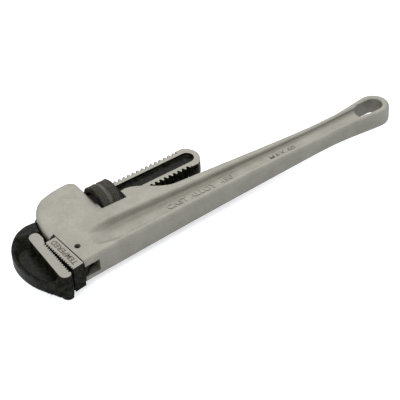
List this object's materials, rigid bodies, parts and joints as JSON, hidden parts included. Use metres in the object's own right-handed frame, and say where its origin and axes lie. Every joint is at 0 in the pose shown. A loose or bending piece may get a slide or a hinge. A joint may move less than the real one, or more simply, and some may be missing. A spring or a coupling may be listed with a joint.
{
  "type": "pipe wrench",
  "caption": "Straight pipe wrench: cast handle with housing, sliding threaded hook jaw, knurled nut, pinned heel jaw and housing springs.",
  "frame": {"origin": "middle of the underside of the closed wrench's box, level with the lowest point of the nut", "axes": "+X from the jaws to the hanging eye, +Y from the heel jaw side to the screw side, +Z out of the upper face"},
  "size_m": [0.4, 0.1092, 0.0406],
  "materials": {
    "cast_aluminium": "bead blasted",
    "black_steel": "black oxide",
    "ground_steel": "ground",
    "spring_steel": "oiled"
  },
  "bodies": {
    "handle": {"handle_housing": "cast_aluminium", "heel_jaw": "ground_steel", "heel_jaw_pin": "spring_steel", "coil_spring": "spring_steel"},
    "jaw_carrier": {"flat_spring": "spring_steel", "spring_rivet": "spring_steel"},
    "hook_jaw": {"hook_jaw": "black_steel"},
    "nut": {"adjusting_nut": "black_steel"}
  },
  "joints": [
    {"name": "jaw_rock", "type": "hinge", "parent": "handle", "child": "jaw_carrier", "pos_m": [-0.0923, 0.0209, 0.0203], "axis": [0, 0, 1], "range_deg": [-2, 0], "stiffness_Nm_per_rad": 20, "springref_deg": 3.44, "deforming": ["coil_spring"]},
    {"name": "hook_slide", "type": "slide", "parent": "jaw_carrier", "child": "hook_jaw", "axis": [-1, 0, 0], "range_m": [0, 0.062]},
    {"name": "nut_spin", "type": "hinge", "parent": "jaw_carrier", "child": "nut", "pos_m": [-0.0923, 0.0209, 0.0203], "axis": [1, 0, 0], "range_deg": [0, 4470]}
  ],
  "couplings": [
    {"joint": "nut_spin", "follows": "hook_slide", "rad_per_m": 1256.6}
  ]
}
